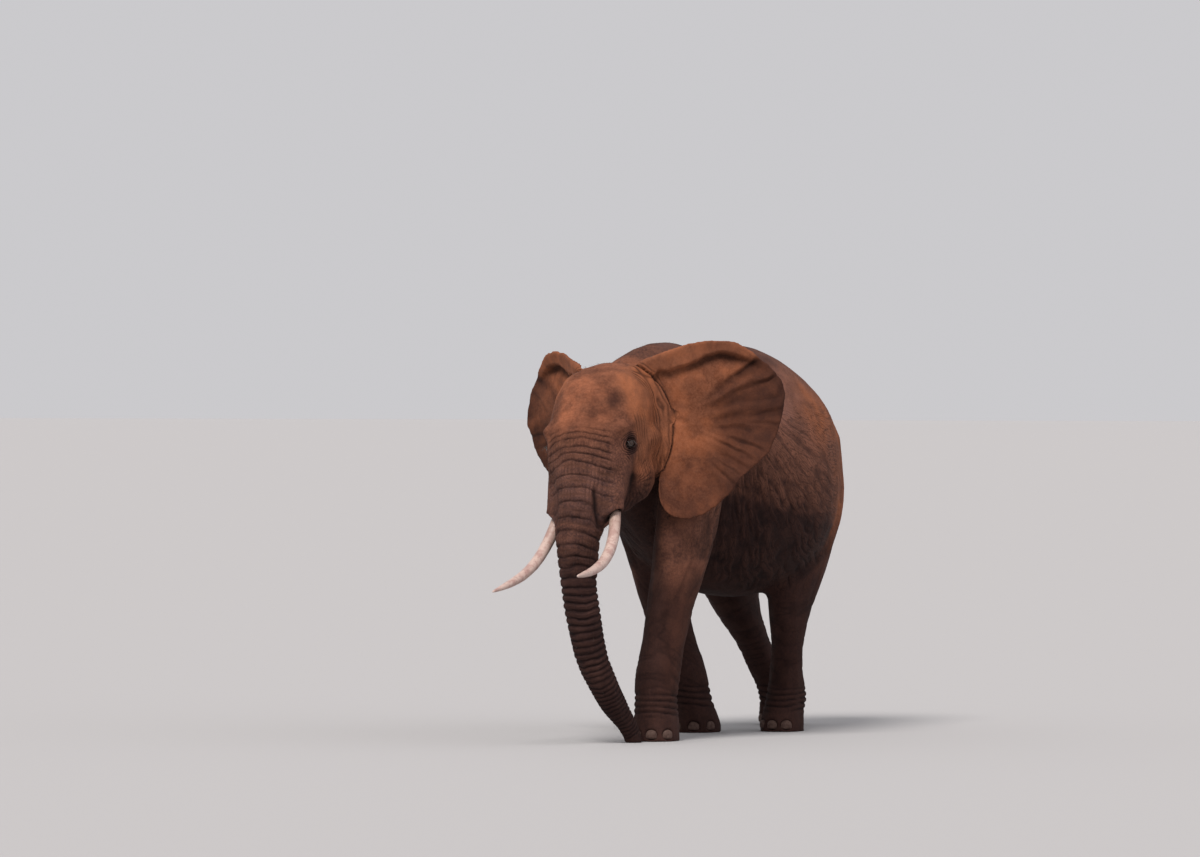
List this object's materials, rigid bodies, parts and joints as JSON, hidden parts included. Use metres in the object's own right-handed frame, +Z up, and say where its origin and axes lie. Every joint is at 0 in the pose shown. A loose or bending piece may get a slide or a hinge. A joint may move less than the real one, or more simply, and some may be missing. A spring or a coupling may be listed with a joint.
{
  "type": "african elephant",
  "caption": "Life-size standing model of an adult African savanna elephant cow, mid-stride with ears spread, tusks forward and trunk reaching the ground.",
  "frame": {"origin": "on the ground under the middle of the animal's outer box", "axes": "-Y is the way she walks, +X is her left side, +Z is up"},
  "size_m": [1.7874, 4.0248, 2.4996],
  "materials": {
    "hide": "dusty wrinkled hide, grey-brown to red-brown",
    "ear_hide": "thin dusty hide, red-brown",
    "ivory": "worn ivory, stained near the root",
    "toenail": "dull scuffed horn",
    "eyeball": "wet dark brown",
    "tail_hair": "coarse black bristle"
  },
  "bodies": {
    "root": {"ear_left": "ear_hide", "ear_right": "ear_hide", "eye_left": "eyeball", "eye_right": "eyeball", "forefoot_left": "hide", "forefoot_right": "hide", "foreleg_left_lower": "hide", "foreleg_left_upper": "hide", "foreleg_right_lower": "hide", "foreleg_right_upper": "hide", "head": "hide", "hindfoot_left": "hide", "hindfoot_right": "hide", "hindleg_left_lower": "hide", "hindleg_left_upper": "hide", "hindleg_right_lower": "hide", "hindleg_right_upper": "hide", "lower_jaw": "hide", "neck": "hide", "tail": "hide", "tail_tuft": "tail_hair", "toenail_fore_left_1": "toenail", "toenail_fore_left_2": "toenail", "toenail_fore_left_3": "toenail", "toenail_fore_left_4": "toenail", "toenail_fore_right_1": "toenail", "toenail_fore_right_2": "toenail", "toenail_fore_right_3": "toenail", "toenail_fore_right_4": "toenail", "toenail_hind_left_1": "toenail", "toenail_hind_left_2": "toenail", "toenail_hind_left_3": "toenail", "toenail_hind_right_1": "toenail", "toenail_hind_right_2": "toenail", "toenail_hind_right_3": "toenail", "torso": "hide", "trunk_1": "hide", "trunk_2": "hide", "trunk_3": "hide", "trunk_4": "hide", "tusk_left": "ivory", "tusk_right": "ivory"}
  },
  "joints": []
}
